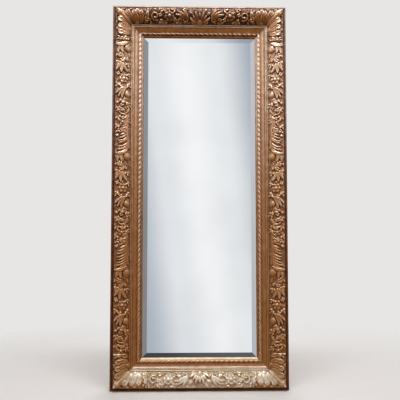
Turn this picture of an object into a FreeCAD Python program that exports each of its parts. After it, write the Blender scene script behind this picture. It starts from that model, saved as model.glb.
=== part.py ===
import FreeCAD, Part
import Sketcher
import math
import os
from FreeCAD import Placement, Rotation, Vector

# A tall wall mirror: bevelled glass in a mitred moulding with cast acanthus ornament.
# X runs to the right, Z up and Y towards the wall. The origin is the middle of the wall plane.
# Across is measured inwards from the outer edge of a rail, height forwards from its back.

doc = FreeCAD.newDocument("framed_mirror")

driving_sizes = {
    # glass and board
    "glass_width": 500,
    "glass_height": 1400,
    "glass_thickness": 5,
    "bevel_width": 25,
    "bevel_drop": 2,
    "lip_overlap": 4,
    "glass_clearance": 2,
    "touch_clearance": 0.1,
    "board_thickness": 3,
    "board_clearance": 1,
    # moulding, from the outer edge inwards
    "moulding_width": 133,
    "side_height": 33,
    "rim_radius": 6,
    "rim_flat": 1.5,
    "groove_depth": 4,
    "groove_width": 7.5,
    "bed_width": 64,
    "bed_radius": 60,
    "crest_inset": 15,
    "crest_height": 52,
    "quirk_width": 1.5,
    "quirk_depth": 1.5,
    "bead_width": 5,
    "bead_radius": 3,
    "bead_rise": 4,
    "bead_gap": 1.5,
    "bead_gap_depth": 2,
    "cavetto_radius": 20,
    "cavetto_foot": 1,
    "seat_width": 13.5,
    "seat_height": 13.5,
    "lip_width": 8,
    "lip_rise": 1.5,
    "sight_edge_height": 9.5,
    # rope strip on its seat
    "rope_width": 13,
    "rope_radius": 6.8,
    # cast ornament
    "cast_thickness": 2,
    "glue_line": 0.1,
    "cast_margin": 1,
    "corner_leg": 160,
    "relief": 6,
    "repeat_length": 497,
    "first_leaf_drop": 653,
    "blade_width": 15,
    "scroll_radius": 17,
    "flower_radius": 20,
    "sprig_length": 22,
    "fan_heart": 6,
    "lobe_start": 1,
    "corner_ray_foot": 5,
    "corner_ray_start": 8,
    "corner_rib_foot": 3,
    "corner_rib_inner_width": 10,
    "corner_rib_outer_width": 13,
    # mitre wedges
    "wedge_leg": 9,
    "wedge_thickness": 1,
    "wedge_depth": 10,
    "wedge_angle": 50,
    "wedge_outer_place": 40,
    "wedge_inner_place": 92,
    # glass packers
    "packer_length": 40,
    "packer_inset": 110,
    # turn buttons and their screws
    "button_length": 40,
    "button_width": 12,
    "button_thickness": 1.5,
    "button_pivot_inset": 14,
    "button_play": 0.1,
    "running_clearance": 0.08,
    "screw_radius": 1.75,
    "screw_length": 12,
    "screw_head_radius": 3.8,
    "screw_head_height": 2.2,
    # hangers
    "hanger_drop": 416,
    "hanger_place": 65,
    "strap_width": 16,
    "strap_thickness": 1.5,
    "strap_length": 58,
    "strap_screw_first": 32,
    "strap_screw_step": 16,
    "knuckle_width": 14,
    "knuckle_lift": 0.5,
    "ring_wire_radius": 1.6,
    "ring_side_play": 0.6,
    "ring_bend_radius": 3.5,
    "ring_side_length": 5,
    # wall bumpers
    "bumper_height": 8,
    "bumper_radius": 11,
    "bumper_top_radius": 9,
    "bumper_round": 1,
    "bumper_place": 60,
}
side_button_count = 4
end_button_count = 2
casts_per_long_rail = 3
ground_flats = 4

sheet = doc.addObject("Spreadsheet::Sheet", "Sizes")
for row, (name, amount) in enumerate(driving_sizes.items(), start=1):
    sheet.set(f"A{row}", name)
    sheet.set(f"B{row}", str(amount))
    sheet.setAlias(f"B{row}", name)

# Values worked out from the sheet, each written once and used by name. The reader works out
# a formula for a first drawing, apart from the layout, so that reading changes nothing.
layout = doc.addObject("App::FeaturePython", "Layout")
reader = doc.addObject("App::FeaturePython", "Reader")
reader.addProperty("App::PropertyFloat", "reading", "Reader")
doc.recompute()


def size(name):
    return float(sheet.get(name))


def number(formula):
    reader.setExpression("reading", formula)
    reader.recompute()
    return reader.reading


def derive(name, formula):
    layout.addProperty("App::PropertyFloat", name, "Layout")
    layout.setExpression(name, formula)
    layout.recompute()


derive("sight_width", "Sizes.glass_width - 2 * Sizes.lip_overlap")
derive("sight_height", "Sizes.glass_height - 2 * Sizes.lip_overlap")
derive("outer_width", "Layout.sight_width + 2 * Sizes.moulding_width")
derive("outer_height", "Layout.sight_height + 2 * Sizes.moulding_width")
derive("back_plane", "-Sizes.bumper_height")
derive("rebate_width", "Sizes.lip_overlap + Sizes.glass_clearance")
derive("bevel_at_lip", "Sizes.bevel_drop * (1 - Sizes.lip_overlap / Sizes.bevel_width)")
derive("glass_front", "Sizes.board_thickness + Sizes.glass_thickness")
derive("rebate_depth", "Layout.glass_front - Layout.bevel_at_lip + Sizes.touch_clearance")
derive("rim_height", "Sizes.side_height + Sizes.rim_radius")
derive("rim_inner", "Sizes.rim_radius + Sizes.rim_flat")
derive("groove_floor", "Layout.rim_height - Sizes.groove_depth")
derive("bed_start", "Layout.rim_inner + Sizes.groove_width")
derive("bed_end", "Layout.bed_start + Sizes.bed_width")
derive("crest_place", "Layout.bed_start + Sizes.crest_inset")
derive("bed_centre_height", "Sizes.crest_height - Sizes.bed_radius")
derive("bed_start_height",
       "Layout.bed_centre_height + sqrt(Sizes.bed_radius ^ 2 - Sizes.crest_inset ^ 2)")
derive("bed_end_height", "Layout.bed_centre_height"
       " + sqrt(Sizes.bed_radius ^ 2 - (Sizes.bed_width - Sizes.crest_inset) ^ 2)")
derive("quirk_floor", "Layout.bed_end_height - Sizes.quirk_depth")
derive("bead_start", "Layout.bed_end + Sizes.quirk_width")
derive("bead_foot", "Layout.quirk_floor + Sizes.bead_rise")
derive("bead_middle", "Layout.bead_start + Sizes.bead_width")
derive("gap_floor", "Layout.bead_foot - Sizes.bead_gap_depth")
derive("second_bead_start", "Layout.bead_middle + Sizes.bead_gap")
derive("second_bead_end", "Layout.second_bead_start + Sizes.bead_width")
derive("second_gap_floor", "Layout.gap_floor - Sizes.bead_gap_depth")
derive("cavetto_start", "Layout.second_bead_end + Sizes.bead_gap")
derive("seat_end", "Sizes.moulding_width - Sizes.lip_width")
derive("seat_start", "Layout.seat_end - Sizes.seat_width")
derive("rope_start", "Layout.seat_start + (Sizes.seat_width - Sizes.rope_width) / 2")
derive("knuckle_bore", "Sizes.ring_wire_radius + Sizes.running_clearance")
derive("knuckle_radius", "Layout.knuckle_bore + Sizes.strap_thickness")
derive("pivot_height", "Layout.knuckle_radius + Sizes.knuckle_lift")
derive("bar_half", "Sizes.knuckle_width / 2 + Sizes.ring_side_play")
derive("ring_half", "Layout.bar_half + Sizes.ring_bend_radius")


def outline(sketch, corners, arcs=None):
    """Draw a closed outline whose corners, and the radii of its arcs, follow formulas.

    arcs maps the number of an edge's first corner to (radius formula, side of the bulge).
    """
    arcs = arcs or {}
    spots = [Vector(number(x), number(y), 0) for x, y in corners]
    edges = []
    for index, spot in enumerate(spots):
        after = spots[(index + 1) % len(spots)]
        if index in arcs:
            radius, side = number(arcs[index][0]), arcs[index][1]
            chord = after - spot
            sagitta = radius - math.sqrt(max(radius ** 2 - chord.Length ** 2 / 4, 0))
            across = Vector(-chord.y, chord.x, 0).normalize() * side
            edge = Part.ArcOfCircle(spot, (spot + after) / 2 + across * sagitta, after)
        else:
            edge = Part.LineSegment(spot, after)
        edges.append(sketch.addGeometry(edge, False))

    def end_at(edge, spot):
        return 1 if (sketch.getPoint(edge, 1) - spot).Length < 1e-6 else 2

    for index, spot in enumerate(spots):
        before, here = edges[index - 1], edges[index]
        end = end_at(here, spot)
        sketch.addConstraint(
            Sketcher.Constraint("Coincident", before, end_at(before, spot), here, end))
        for kind, formula, amount in zip(
                ("DistanceX", "DistanceY"), corners[index], (spot.x, spot.y)):
            place = sketch.addConstraint(Sketcher.Constraint(kind, -1, 1, here, end, amount))
            sketch.setExpression(f"Constraints[{place}]", formula)
    for index, (radius, side) in arcs.items():
        place = sketch.addConstraint(
            Sketcher.Constraint("Radius", edges[index], number(radius)))
        sketch.setExpression(f"Constraints[{place}]", radius)


def circle(sketch, x, y, radius):
    centre = Vector(number(x), number(y), 0)
    edge = sketch.addGeometry(Part.Circle(centre, Vector(0, 0, 1), number(radius)), False)
    for kind, formula, amount in (("DistanceX", x, centre.x), ("DistanceY", y, centre.y)):
        place = sketch.addConstraint(Sketcher.Constraint(kind, -1, 1, edge, 3, amount))
        sketch.setExpression(f"Constraints[{place}]", formula)
    place = sketch.addConstraint(Sketcher.Constraint("Radius", edge, number(radius)))
    sketch.setExpression(f"Constraints[{place}]", radius)


def new_body(label):
    body = doc.addObject("PartDesign::Body", label)
    body.Label = label
    return body


def new_sketch(body, name, role):
    sketch = body.newObject("Sketcher::SketchObject", name)
    support = next(item for item in body.Origin.OriginFeatures if item.Role == role)
    sketch.AttachmentSupport = (support, [""])
    sketch.MapMode = "FlatFace"
    return sketch


def pad(body, sketch, length, both_ways=False, turned=False):
    feature = body.newObject("PartDesign::Pad", "Pad")
    feature.Profile = sketch
    feature.Midplane = both_ways
    feature.Reversed = turned
    feature.setExpression("Length", length)
    doc.recompute()
    return feature


def pocket_through(body, sketch):
    before = body.Shape.Volume
    feature = body.newObject("PartDesign::Pocket", "Pocket")
    feature.Profile = sketch
    feature.Type = "ThroughAll"
    feature.Midplane = True
    doc.recompute()
    if body.Shape.Volume >= before:
        raise RuntimeError(f"{body.Label}: the pocket {sketch.Label} cut nothing")
    return feature


def place(item, x="0", y="0", z="0", turn=0):
    """Put an item at a place given by formulas, turned about Y by whole degrees."""
    item.Placement = Placement(Vector(), Rotation(Vector(0, 1, 0), turn))
    for axis, formula in (("x", x), ("y", y), ("z", z)):
        item.setExpression(f"Placement.Base.{axis}", formula)


def solid_feature(label, shape, where=None):
    feature = doc.addObject("Part::Feature", label)
    feature.Label = label
    feature.Shape = shape
    feature.Placement = where or Placement()
    return feature


# Each side of the frame: its length, where its outer edge lies, and its turn about Y.
sides = {
    "top": ("Layout.outer_width", "0", "Layout.outer_height / 2", 0),
    "right": ("Layout.outer_height", "Layout.outer_width / 2", "0", 90),
    "bottom": ("Layout.outer_width", "0", "-Layout.outer_height / 2", 180),
    "left": ("Layout.outer_height", "-Layout.outer_width / 2", "0", -90),
}


def side_placement(side):
    length, x, z, turn = sides[side]
    base = Vector(number(x), layout.back_plane, number(z))
    return Placement(base, Rotation(Vector(0, 1, 0), turn))


def mitred_length(label, side, profile, arcs):
    """A profile of (across, height) corners carried along one side and mitred at both ends."""
    length, x, z, turn = sides[side]
    body = new_body(label)
    section = new_sketch(body, "Section", "YZ_Plane")
    outline(section, [(f"-({height})", f"-({across})") for across, height in profile], arcs)
    pad(body, section, length, both_ways=True)
    past = "Sizes.moulding_width"
    for hand in ("", "-"):
        cut = new_sketch(body, "Mitre", "XZ_Plane")
        outline(cut, [
            (f"{hand}({length} / 2 + {past})", past),
            (f"{hand}({length} / 2 + {past})", f"-2 * {past}"),
            (f"{hand}({length} / 2 - 2 * {past})", f"-2 * {past}"),
        ])
        pocket_through(body, cut)
    place(body, x, "Layout.back_plane", z, turn)
    return body


# Rails

rail_profile = [
    ("0", "0"),
    ("0", "Sizes.side_height"),
    ("Sizes.rim_radius", "Layout.rim_height"),
    ("Layout.rim_inner", "Layout.rim_height"),
    ("Layout.rim_inner", "Layout.groove_floor"),
    ("Layout.bed_start", "Layout.groove_floor"),
    ("Layout.bed_start", "Layout.bed_start_height"),
    ("Layout.bed_end", "Layout.bed_end_height"),
    ("Layout.bed_end", "Layout.quirk_floor"),
    ("Layout.bead_start", "Layout.quirk_floor"),
    ("Layout.bead_start", "Layout.bead_foot"),
    ("Layout.bead_middle", "Layout.bead_foot"),
    ("Layout.bead_middle", "Layout.gap_floor"),
    ("Layout.second_bead_start", "Layout.gap_floor"),
    ("Layout.second_bead_end", "Layout.gap_floor"),
    ("Layout.second_bead_end", "Layout.second_gap_floor"),
    ("Layout.cavetto_start", "Layout.second_gap_floor"),
    ("Layout.seat_start", "Sizes.seat_height + Sizes.cavetto_foot"),
    ("Layout.seat_start", "Sizes.seat_height"),
    ("Layout.seat_end", "Sizes.seat_height"),
    ("Layout.seat_end", "Sizes.seat_height + Sizes.lip_rise"),
    ("Sizes.moulding_width", "Sizes.sight_edge_height"),
    ("Sizes.moulding_width", "Layout.rebate_depth"),
    ("Sizes.moulding_width - Layout.rebate_width", "Layout.rebate_depth"),
    ("Sizes.moulding_width - Layout.rebate_width", "0"),
]
rail_arcs = {
    1: ("Sizes.rim_radius", -1),
    6: ("Sizes.bed_radius", -1),
    10: ("Sizes.bead_radius", -1),
    13: ("Sizes.bead_radius", -1),
    16: ("Sizes.cavetto_radius", 1),
}
rope_profile = [
    ("Layout.rope_start", "Sizes.seat_height"),
    ("Layout.rope_start + Sizes.rope_width", "Sizes.seat_height"),
]
rope_arcs = {0: ("Sizes.rope_radius", -1)}

rail_blanks = {}
rope_strips = []
for side in sides:
    rail_blanks[side] = mitred_length(f"rail_{side}_blank", side, rail_profile, rail_arcs)
    rope_strips.append(mitred_length(f"rope_strip_{side}", side, rope_profile, rope_arcs))

# Mirror glass and backing board


def sheet_body(label, width, height, thickness, back_height):
    body = new_body(label)
    plan = new_sketch(body, "Plan", "XZ_Plane")
    half_width, half_height = f"({width}) / 2", f"({height}) / 2"
    outline(plan, [
        (f"-{half_width}", f"-{half_height}"),
        (half_width, f"-{half_height}"),
        (half_width, half_height),
        (f"-{half_width}", half_height),
    ])
    pad(body, plan, thickness)
    place(body, "0", f"Layout.back_plane - {back_height}", "0")
    return body


mirror_glass = sheet_body("mirror_glass", "Sizes.glass_width", "Sizes.glass_height",
                          "Sizes.glass_thickness", "Sizes.board_thickness")
bevel_base = mirror_glass.Tip
front = min(vertex.Point.y for vertex in bevel_base.Shape.Vertexes)
front_edges = [
    f"Edge{number_of}" for number_of, edge in enumerate(bevel_base.Shape.Edges, start=1)
    if all(abs(vertex.Point.y - front) < 1e-6 for vertex in edge.Vertexes)
]
bevel = mirror_glass.newObject("PartDesign::Chamfer", "Bevel")
bevel.Base = (bevel_base, front_edges)
bevel.ChamferType = "Two distances"
bevel.setExpression("Size", "Sizes.bevel_drop")
bevel.setExpression("Size2", "Sizes.bevel_width")
doc.recompute()

board_width = "Sizes.glass_width + 2 * (Sizes.glass_clearance - Sizes.board_clearance)"
board_height = "Sizes.glass_height + 2 * (Sizes.glass_clearance - Sizes.board_clearance)"
backing_board = sheet_body("backing_board", board_width, board_height,
                           "Sizes.board_thickness", "0")

# Glass packers fill the clearance round the glass edge


def packer(x, z, along_x):
    length, gap = size("packer_length"), size("glass_clearance")
    depth = size("glass_thickness") - size("bevel_drop")
    width, height = (length, gap) if along_x else (gap, length)
    corner = Vector(x - width / 2, layout.back_plane - size("board_thickness") - depth,
                    z - height / 2)
    return Part.makeBox(width, depth, height, corner)


packer_x = size("glass_width") / 2 - size("packer_inset")
packer_z = size("glass_height") / 2 - size("packer_inset")
edge_x = size("glass_width") / 2 + size("glass_clearance") / 2
edge_z = size("glass_height") / 2 + size("glass_clearance") / 2
packers = []
for x_hand in (-1, 1):
    for z_hand in (-1, 1):
        packers.append(packer(x_hand * packer_x, z_hand * edge_z, True))
        packers.append(packer(x_hand * edge_x, z_hand * packer_z, False))
glass_packers = solid_feature("glass_packers", Part.makeCompound(packers))

# Mitre wedges, two across each corner joint


def mitre_wedge(across, x_hand, z_hand):
    """A bent strip whose point lies on the mitre, driven in flush with the back."""
    leg, thick = size("wedge_leg"), size("wedge_thickness")
    angle = math.radians(size("wedge_angle"))
    run, spread = leg * math.cos(angle), leg * math.sin(angle)
    shift, drop = thick * math.sin(angle), thick * math.cos(angle)
    flat = [
        (0, 0), (run, spread), (run + shift, spread - drop),
        (thick / math.sin(angle), 0), (run + shift, drop - spread), (run, -spread),
    ]
    corner = Vector(layout.outer_width / 2 - across, 0, layout.outer_height / 2 - across)
    outward, sideways = Vector(1, 0, 1).normalize(), Vector(1, 0, -1).normalize()
    points = []
    for u, v in flat:
        spot = corner + outward * u + sideways * v
        points.append(Vector(x_hand * spot.x, layout.back_plane, z_hand * spot.z))
    face = Part.Face(Part.makePolygon(points + points[:1]))
    return face.extrude(Vector(0, -size("wedge_depth"), 0))


wedges = [
    mitre_wedge(size(where), x_hand, z_hand)
    for where in ("wedge_outer_place", "wedge_inner_place")
    for x_hand in (-1, 1) for z_hand in (-1, 1)
]
mitre_wedges = solid_feature("mitre_wedges", Part.makeCompound(wedges))

# Turned pieces: a profile of (radius, height) corners revolved about Y


def turned_body(label, profile, arcs=None):
    body = new_body(label)
    section = new_sketch(body, "Section", "XY_Plane")
    outline(section, profile, arcs)
    revolution = body.newObject("PartDesign::Revolution", "Revolution")
    revolution.Profile = section
    revolution.ReferenceAxis = (section, ["V_Axis"])
    revolution.Angle = 360
    doc.recompute()
    return body


def screw(label):
    """A wood screw with a domed head: its seat is at height 0 and its shank points inwards."""
    return turned_body(label, [
        ("0", "-Sizes.screw_length"),
        ("Sizes.screw_radius", "-Sizes.screw_length + Sizes.screw_radius"),
        ("Sizes.screw_radius", "0"),
        ("Sizes.screw_head_radius", "0"),
        ("Sizes.screw_head_radius", "Sizes.screw_head_height / 3"),
        ("Sizes.screw_head_radius / 2", "Sizes.screw_head_height"),
        ("0", "Sizes.screw_head_height"),
    ], {4: ("Sizes.screw_head_radius", -1)})


def copies(label, master, spots):
    shapes = []
    for spot in spots:
        shape = master.Shape.copy()
        shape.translate(spot)
        shapes.append(shape)
    return solid_feature(label, Part.makeCompound(shapes))


screw_master = screw("screw_master")

# Turn buttons, each on the back of a rail with its free end over the board


def turn_button(label, x, z, turn):
    """A flat bar with round ends and its pivot hole near one end; local -Z points inwards."""
    body = new_body(label)
    plan = new_sketch(body, "Plan", "XZ_Plane")
    half = "Sizes.button_width / 2"
    straight = "-(Sizes.button_length - Sizes.button_width)"
    outline(plan, [
        (f"-{half}", "0"),
        (f"-{half}", straight),
        ("0", f"{straight} - {half}"),
        (half, straight),
        (half, "0"),
        ("0", half),
    ], {1: (half, -1), 2: (half, -1), 4: (half, -1), 5: (half, -1)})
    circle(plan, "0", "0", "Sizes.screw_radius + Sizes.running_clearance")
    pad(body, plan, "Sizes.button_thickness", turned=True)
    place(body, x, "Layout.back_plane + Sizes.button_play", z, turn)
    return body


buttons = []
button_spots = []
button_inset = "(Layout.rebate_width + Sizes.button_pivot_inset - Sizes.moulding_width)"
for side in sides:
    length, x, z, turn = sides[side]
    upright = side in ("left", "right")
    count = side_button_count if upright else end_button_count
    run = "Layout.sight_height" if upright else "Layout.sight_width"
    for index in range(count):
        along = f"({index} + 0.5 - {count} / 2) * {run} / {count}"
        if upright:
            spot = (f"{x} + {button_inset}" if side == "right" else f"{x} - {button_inset}", along)
        else:
            spot = (along, f"{z} + {button_inset}" if side == "top" else f"{z} - {button_inset}")
        buttons.append(turn_button(f"turn_button_{side}_{index + 1}", *spot, turn))
        button_spots.append(Vector(number(spot[0]), 0, number(spot[1])))
button_seat = layout.back_plane + size("button_thickness") + 2 * size("button_play")
turn_button_screws = copies("turn_button_screws", screw_master,
                            [spot + Vector(0, button_seat, 0) for spot in button_spots])

# Hangers: a strap with a rolled eye, and a D ring that swings in the eye


def hanger_strap(label, x, z):
    body = new_body(label)
    plate = new_sketch(body, "Plate", "XZ_Plane")
    half = "Sizes.strap_width / 2"
    low = "-(Sizes.strap_length - Sizes.strap_width / 2)"
    outline(plate, [
        (f"-{half}", "0"),
        (f"-{half}", low),
        ("0", f"{low} - {half}"),
        (half, low),
        (half, "0"),
    ], {1: (half, -1), 2: (half, -1)})
    for index in range(2):
        drop = f"-(Sizes.strap_screw_first + {index} * Sizes.strap_screw_step)"
        circle(plate, "0", drop, "Sizes.screw_radius")
    pad(body, plate, "Sizes.strap_thickness", turned=True)
    eye = new_sketch(body, "Eye", "YZ_Plane")
    circle(eye, "Layout.pivot_height", "0", "Layout.knuckle_radius")
    circle(eye, "Layout.pivot_height", "0", "Layout.knuckle_bore")
    pad(body, eye, "Sizes.knuckle_width", both_ways=True)
    place(body, x, "Layout.back_plane", z)
    return body


def hanger_ring(label, x, z):
    """A round wire bent to a D: its bar lies on the local X axis and its bow hangs down."""
    body = new_body(label)
    path = new_sketch(body, "Path", "XZ_Plane")
    bend = "Sizes.ring_bend_radius"
    low = f"-({bend} + Sizes.ring_side_length)"
    outline(path, [
        ("0", "0"),
        ("Layout.bar_half", "0"),
        ("Layout.ring_half", f"-{bend}"),
        ("Layout.ring_half", low),
        ("0", f"{low} - Layout.ring_half"),
        ("-Layout.ring_half", low),
        ("-Layout.ring_half", f"-{bend}"),
        ("-Layout.bar_half", "0"),
    ], {1: (bend, 1), 3: ("Layout.ring_half", 1), 4: ("Layout.ring_half", 1), 6: (bend, 1)})
    wire = new_sketch(body, "Wire", "YZ_Plane")
    circle(wire, "0", "0", "Sizes.ring_wire_radius")
    pipe = body.newObject("PartDesign::AdditivePipe", "Pipe")
    pipe.Profile = wire
    pipe.Spine = path
    doc.recompute()
    place(body, x, "Layout.back_plane + Layout.pivot_height", z)
    return body


hangers = []
hanger_spots = []
hanger_z = "Layout.outer_height / 2 - Sizes.hanger_drop"
for side, hand in (("left", "-"), ("right", "")):
    x = f"{hand}(Layout.outer_width / 2 - Sizes.hanger_place)"
    hangers.append(hanger_strap(f"hanger_strap_{side}", x, hanger_z))
    hangers.append(hanger_ring(f"hanger_ring_{side}", x, hanger_z))
    for index in range(2):
        drop = size("strap_screw_first") + index * size("strap_screw_step")
        seat = layout.back_plane + size("strap_thickness")
        hanger_spots.append(Vector(number(x), seat, number(hanger_z) - drop))
hanger_screws = copies("hanger_screws", screw_master, hanger_spots)

# Wall bumpers

bumper_master = turned_body("bumper_master", [
    ("0", "0"),
    ("Sizes.bumper_radius", "0"),
    ("Sizes.bumper_top_radius", "Sizes.bumper_height - Sizes.bumper_round"),
    ("Sizes.bumper_top_radius - Sizes.bumper_round", "Sizes.bumper_height"),
    ("0", "Sizes.bumper_height"),
], {2: ("Sizes.bumper_round", -1)})
bumper_x = layout.outer_width / 2 - size("bumper_place")
bumper_z = layout.outer_height / 2 - size("bumper_place")
wall_bumpers = copies("wall_bumpers", bumper_master, [
    Vector(x_hand * bumper_x, layout.back_plane, z_hand * bumper_z)
    for x_hand in (-1, 1) for z_hand in (-1, 1)
])

# The rails are cut for every fastener that is driven into them.

fasteners = doc.addObject("Part::Compound", "fasteners")
fasteners.Links = [mitre_wedges, turn_button_screws, hanger_screws]
rails = []
for side, blank in rail_blanks.items():
    rail = doc.addObject("Part::Cut", f"rail_{side}")
    rail.Label = f"rail_{side}"
    rail.Base = blank
    rail.Tool = fasteners
    rails.append(rail)

# Cast ornament. It is drawn on the bed of a rail: along runs with the rail, and arc is the
# distance over the curved bed from its inner edge. Leaves and petals are ridged blades.

plate_radius = size("bed_radius") + size("cast_thickness")
inner_reach = size("bed_width") - size("crest_inset") - size("cast_margin")
inner_angle = math.asin(inner_reach / size("bed_radius"))
outer_angle = -math.asin((size("crest_inset") - size("cast_margin")) / size("bed_radius"))
bed_arc = (inner_angle - outer_angle) * plate_radius
relief = size("relief")
trim_radius = plate_radius + 4 * relief
sink = size("cast_thickness") / 2


def bed_spot(along, arc, rise):
    angle = inner_angle - arc / plate_radius
    reach = plate_radius + rise
    across = layout.crest_place + reach * math.sin(angle)
    height = layout.bed_centre_height + reach * math.cos(angle)
    return Vector(along, -height, -across)


def closed_solid(faces):
    shell = Part.Shell([Part.Face(Part.makePolygon(corners + corners[:1])) for corners in faces])
    solid = Part.Solid(shell)
    if solid.Volume < 0:
        solid.reverse()
    return solid


def ridged(foot, sections, tip):
    """A solid through three-cornered sections, from one point to another."""
    faces = []
    for low, high in zip(sections, sections[1:]):
        for index in range(3):
            after = (index + 1) % 3
            faces.append([low[index], low[after], high[after]])
            faces.append([low[index], high[after], high[index]])
    for index in range(3):
        after = (index + 1) % 3
        faces.append([sections[0][after], sections[0][index], foot])
        faces.append([sections[-1][index], sections[-1][after], tip])
    return closed_solid(faces)


def blade(spine, widths, rises):
    """A ridged leaf along (along, arc) points; it is pointed at both ends of its spine."""
    sections = []
    for index, (width, rise) in enumerate(zip(widths, rises), start=1):
        here, after = spine[index], spine[index + 1]
        step = math.hypot(after[0] - here[0], after[1] - here[1])
        side = ((after[1] - here[1]) / step * width / 2, (here[0] - after[0]) / step * width / 2)
        sections.append((
            bed_spot(here[0] - side[0], here[1] - side[1], -sink),
            bed_spot(here[0], here[1], rise),
            bed_spot(here[0] + side[0], here[1] + side[1], -sink),
        ))
    foot, tip = (bed_spot(*spine[end], -sink / 2) for end in (0, -1))
    return ridged(foot, sections, tip)


def ray(along, arc, heading, start, length, width, rise, curl=0):
    """A blade that leaves a point at a heading, in degrees from straight outwards."""
    spine = []
    for share in (0, 0.55, 1):
        angle = math.radians(heading + curl * share)
        reach = start + length * share
        spine.append((along + reach * math.sin(angle), arc + reach * math.cos(angle)))
    return blade(spine, (width,), (rise,))


def fan(along, arc, count, spread, length, width):
    """Blades spread about straight outwards from one foot, the middle ones longest."""
    blades = []
    for index in range(count):
        share = 2 * index / (count - 1) - 1
        reach = length * (1 - 0.22 * share ** 2)
        blades.append(ray(along, arc, spread * share, size("fan_heart"), reach, width, relief,
                          12 * share))
    return blades


def leaf(along, arc, heading, length, pairs):
    """A midrib with pairs of side lobes that get smaller towards the tip."""
    blades = [ray(along, arc, heading, 0, length, length * 0.26, relief)]
    angle = math.radians(heading)
    for index in range(pairs):
        share = 0.08 + 0.62 * index / pairs
        foot = (along + length * share * math.sin(angle), arc + length * share * math.cos(angle))
        reach = length * (0.62 - 0.36 * index / pairs)
        for hand in (-1, 1):
            blades.append(ray(*foot, heading + hand * 58, size("lobe_start"), reach, length * 0.2,
                              relief * 0.8, -hand * 14))
    return blades


def flower(along, arc, radius, petals):
    blades = []
    for index in range(petals):
        blades.append(ray(along, arc, 360 * index / petals, radius * 0.15, radius * 0.85,
                          radius * 0.75, relief * 0.75))
    blades.append(boss(along, arc, radius * 0.3, relief))
    return blades


def boss(along, arc, radius, rise, corners=6):
    """A faceted button, as the eye of a flower or a berry."""
    rings = []
    for share, height in ((1, -sink), (0.85, rise * 0.7)):
        rings.append([
            bed_spot(along + radius * share * math.sin(2 * math.pi * index / corners),
                     arc + radius * share * math.cos(2 * math.pi * index / corners), height)
            for index in range(corners)
        ])
    top = bed_spot(along, arc, rise)
    foot = bed_spot(along, arc, -sink)
    faces = []
    for index in range(corners):
        after = (index + 1) % corners
        faces.append([rings[0][after], rings[0][index], foot])
        faces.append([rings[0][index], rings[0][after], rings[1][after]])
        faces.append([rings[0][index], rings[1][after], rings[1][index]])
        faces.append([rings[1][index], rings[1][after], top])
    return closed_solid(faces)


def scroll(along, arc, radius, start, hand, turns=1.1, steps=8):
    """A tapering ridge that winds in on itself, from a heading in degrees, with a berry eye."""
    spine = []
    for index in range(steps):
        share = index / (steps - 1)
        angle = math.radians(start) + hand * 2 * math.pi * turns * share
        reach = radius * (1 - 0.62 * share)
        spine.append((along + reach * math.sin(angle), arc + reach * math.cos(angle)))
    widths = [radius * (0.5 - 0.2 * index / steps) for index in range(1, steps - 1)]
    rises = [relief * (0.55 + 0.25 * index / steps) for index in range(1, steps - 1)]
    return [blade(spine, widths, rises), boss(along, arc, radius * 0.26, relief * 0.9)]


def bed_layer(start, end, radius):
    """A layer over the bed, in flats that touch the curved wood behind their middles."""
    step = (inner_angle - outer_angle) / ground_flats
    behind = (size("bed_radius") + size("glue_line")) / math.cos(step / 2)
    angles = [outer_angle + step * index for index in range(ground_flats + 1)]
    ring = [(radius, angle) for angle in angles]
    ring += [(behind, angle) for angle in reversed(angles)]
    corners = [
        Vector(start, -(layout.bed_centre_height + reach * math.cos(angle)),
               -(layout.crest_place + reach * math.sin(angle)))
        for reach, angle in ring
    ]
    face = Part.Face(Part.makePolygon(corners + corners[:1]))
    return face.extrude(Vector(end - start, 0, 0))


def one_solid(shape, label):
    if len(shape.Solids) != 1:
        raise RuntimeError(f"{label}: {len(shape.Solids)} solids instead of one")
    return shape.Solids[0]


def cast(label, start, end, motifs):
    """A length of ornament on its thin ground, trimmed to the bed and square at both ends."""
    shape = bed_layer(start, end, plate_radius).multiFuse(motifs)
    return one_solid(shape.common(bed_layer(start, end, trim_radius)), label)


def sprig(along, arc, heading, length):
    """Three small leaves from one foot."""
    return [
        ray(along, arc, heading + turn, size("lobe_start"), length * share, length * 0.36,
            relief * 0.7)
        for turn, share in ((-38, 0.8), (0, 1), (38, 0.8))
    ]


def repeat_motifs(place):
    """One repeat of a long rail: a broad leaf, then scrolls, flowers and a small leaf."""
    step = size("repeat_length")
    eye, bloom, tuft = size("scroll_radius"), size("flower_radius"), size("sprig_length")
    motifs = fan(place, bed_arc * 0.06, 7, 62, bed_arc * 0.74, size("blade_width"))
    motifs += sprig(place - step * 0.13, bed_arc * 0.66, -60, tuft)
    motifs += scroll(place - step * 0.20, bed_arc * 0.38, eye, 90, -1)
    motifs += flower(place - step * 0.30, bed_arc * 0.62, bloom, 6)
    motifs += sprig(place - step * 0.30, bed_arc * 0.30, 180, tuft)
    motifs += leaf(place - step * 0.42, bed_arc * 0.16, 8, bed_arc * 0.66, 3)
    motifs += scroll(place - step * 0.55, bed_arc * 0.46, eye, 200, 1)
    motifs += sprig(place - step * 0.60, bed_arc * 0.78, -50, tuft)
    motifs += flower(place - step * 0.67, bed_arc * 0.54, bloom, 5)
    motifs += sprig(place - step * 0.67, bed_arc * 0.22, 180, tuft)
    motifs += scroll(place - step * 0.78, bed_arc * 0.42, eye, -90, 1)
    motifs += sprig(place - step * 0.86, bed_arc * 0.70, 60, tuft)
    return motifs


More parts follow.
